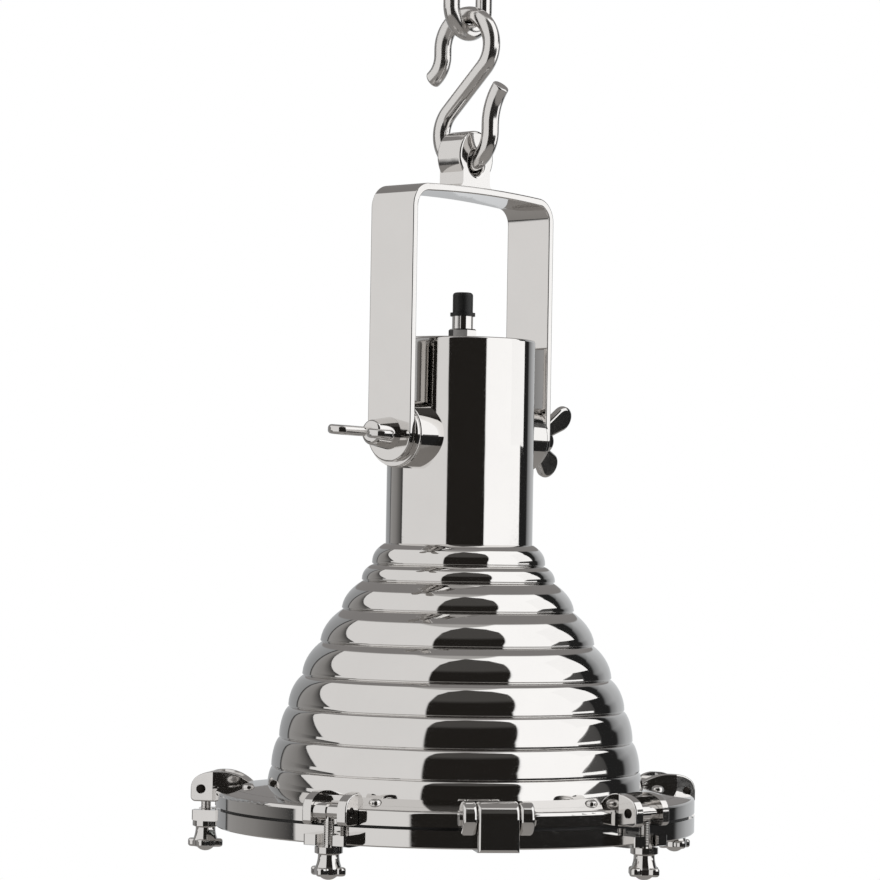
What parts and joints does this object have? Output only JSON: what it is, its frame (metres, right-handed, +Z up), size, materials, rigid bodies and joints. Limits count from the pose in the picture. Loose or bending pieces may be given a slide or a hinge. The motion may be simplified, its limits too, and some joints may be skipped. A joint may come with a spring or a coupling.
{
  "type": "industrial pendant lamp",
  "caption": "Hanging industrial lamp: stepped metal shade on a round neck, tilting in a flat yoke with wing screws, hung by an S-hook; glass held by a clamped ring.",
  "frame": {"origin": "crown inside the upper end of the chain link, where the lamp hangs", "axes": "+Z up, X along the tilt axis of the yoke"},
  "size_m": [0.3257, 0.3209, 0.5817],
  "materials": {
    "polished_casting": "polished",
    "bright_steel": "polished",
    "black_rubber": "satin",
    "clear_glass": "clear",
    "bulb_glass": "clear",
    "white_ceramic": "glazed",
    "brass": "satin"
  },
  "bodies": {
    "link": {"chain_link": "bright_steel"},
    "hook": {"s_hook": "bright_steel"},
    "yoke": {"yoke_eye": "bright_steel", "yoke_bar": "bright_steel"},
    "housing": {"neck_housing": "polished_casting", "left_pivot_washer": "bright_steel", "right_pivot_washer": "bright_steel", "gland_body": "bright_steel", "gland_sleeve": "bright_steel", "gland_cap": "black_rubber", "gland_nut": "bright_steel", "shade": "polished_casting", "shade_lock_ring": "bright_steel", "shade_screws": "bright_steel", "upper_ring": "polished_casting", "ring_gasket": "black_rubber", "door_ring": "polished_casting", "hinge_pin": "bright_steel", "lens_gasket": "black_rubber", "lens_glass": "clear_glass", "clamp_lug_1": "polished_casting", "clamp_lug_2": "polished_casting", "clamp_lug_3": "polished_casting", "clamp_lug_4": "polished_casting", "clamp_lug_5": "polished_casting", "clamp_pins": "bright_steel", "holder_bracket": "bright_steel", "holder_body": "white_ceramic", "holder_shell": "brass", "holder_contact": "brass", "bulb_base": "brass", "bulb_glass": "bulb_glass"},
    "left_wing_screw": {"left_wing_screw": "bright_steel"},
    "right_wing_screw": {"right_wing_screw": "bright_steel"},
    "swing_bolt_1": {"swing_bolt_1": "bright_steel"},
    "hand_knob_1": {"hand_knob_1": "bright_steel"},
    "swing_bolt_2": {"swing_bolt_2": "bright_steel"},
    "hand_knob_2": {"hand_knob_2": "bright_steel"},
    "swing_bolt_3": {"swing_bolt_3": "bright_steel"},
    "hand_knob_3": {"hand_knob_3": "bright_steel"},
    "swing_bolt_4": {"swing_bolt_4": "bright_steel"},
    "hand_knob_4": {"hand_knob_4": "bright_steel"},
    "swing_bolt_5": {"swing_bolt_5": "bright_steel"},
    "hand_knob_5": {"hand_knob_5": "bright_steel"}
  },
  "joints": [
    {"name": "hook_swing", "type": "hinge", "parent": "link", "child": "hook", "pos_m": [0, 0, -0.05125], "axis": [1, 0, 0], "range_deg": [-35, 35]},
    {"name": "yoke_swing", "type": "hinge", "parent": "hook", "child": "yoke", "pos_m": [0, 0, -0.1354], "axis": [0, 1, 0], "range_deg": [-35, 35]},
    {"name": "lamp_tilt", "type": "hinge", "parent": "yoke", "child": "housing", "pos_m": [0, 0, -0.3068], "axis": [1, 0, 0], "range_deg": [-90, 90]},
    {"name": "left_wing_spin", "type": "hinge", "parent": "housing", "child": "left_wing_screw", "pos_m": [-0.06905, 0, -0.3068], "axis": [-1, 0, 0], "continuous": true},
    {"name": "right_wing_spin", "type": "hinge", "parent": "housing", "child": "right_wing_screw", "pos_m": [0.06905, 0, -0.3068], "axis": [1, 0, 0], "continuous": true},
    {"name": "bolt_1_swing", "type": "hinge", "parent": "housing", "child": "swing_bolt_1", "pos_m": [-0.0145, -0.15934, -0.53124], "axis": [-0.9959, 0.0906, 0], "range_deg": [0, 110]},
    {"name": "knob_1_spin", "type": "hinge", "parent": "swing_bolt_1", "child": "hand_knob_1", "pos_m": [-0.0145, -0.15934, -0.5558], "axis": [0, 0, 1], "continuous": true},
    {"name": "bolt_2_swing", "type": "hinge", "parent": "housing", "child": "swing_bolt_2", "pos_m": [0.14706, -0.06303, -0.53124], "axis": [-0.3939, -0.9191, 0], "range_deg": [0, 110]},
    {"name": "knob_2_spin", "type": "hinge", "parent": "swing_bolt_2", "child": "hand_knob_2", "pos_m": [0.14706, -0.06303, -0.5558], "axis": [0, 0, 1], "continuous": true},
    {"name": "bolt_3_swing", "type": "hinge", "parent": "housing", "child": "swing_bolt_3", "pos_m": [0.10539, 0.12039, -0.53124], "axis": [0.7524, -0.6587, 0], "range_deg": [0, 110]},
    {"name": "knob_3_spin", "type": "hinge", "parent": "swing_bolt_3", "child": "hand_knob_3", "pos_m": [0.10539, 0.12039, -0.5558], "axis": [0, 0, 1], "continuous": true},
    {"name": "bolt_4_swing", "type": "hinge", "parent": "housing", "child": "swing_bolt_4", "pos_m": [-0.08193, 0.13743, -0.53124], "axis": [0.859, 0.512, 0], "range_deg": [0, 110]},
    {"name": "knob_4_spin", "type": "hinge", "parent": "swing_bolt_4", "child": "hand_knob_4", "pos_m": [-0.08193, 0.13743, -0.5558], "axis": [0, 0, 1], "continuous": true},
    {"name": "bolt_5_swing", "type": "hinge", "parent": "housing", "child": "swing_bolt_5", "pos_m": [-0.15602, -0.03545, -0.53124], "axis": [-0.2215, 0.9751, 0], "range_deg": [0, 110]},
    {"name": "knob_5_spin", "type": "hinge", "parent": "swing_bolt_5", "child": "hand_knob_5", "pos_m": [-0.15602, -0.03545, -0.5558], "axis": [0, 0, 1], "continuous": true}
  ]
}
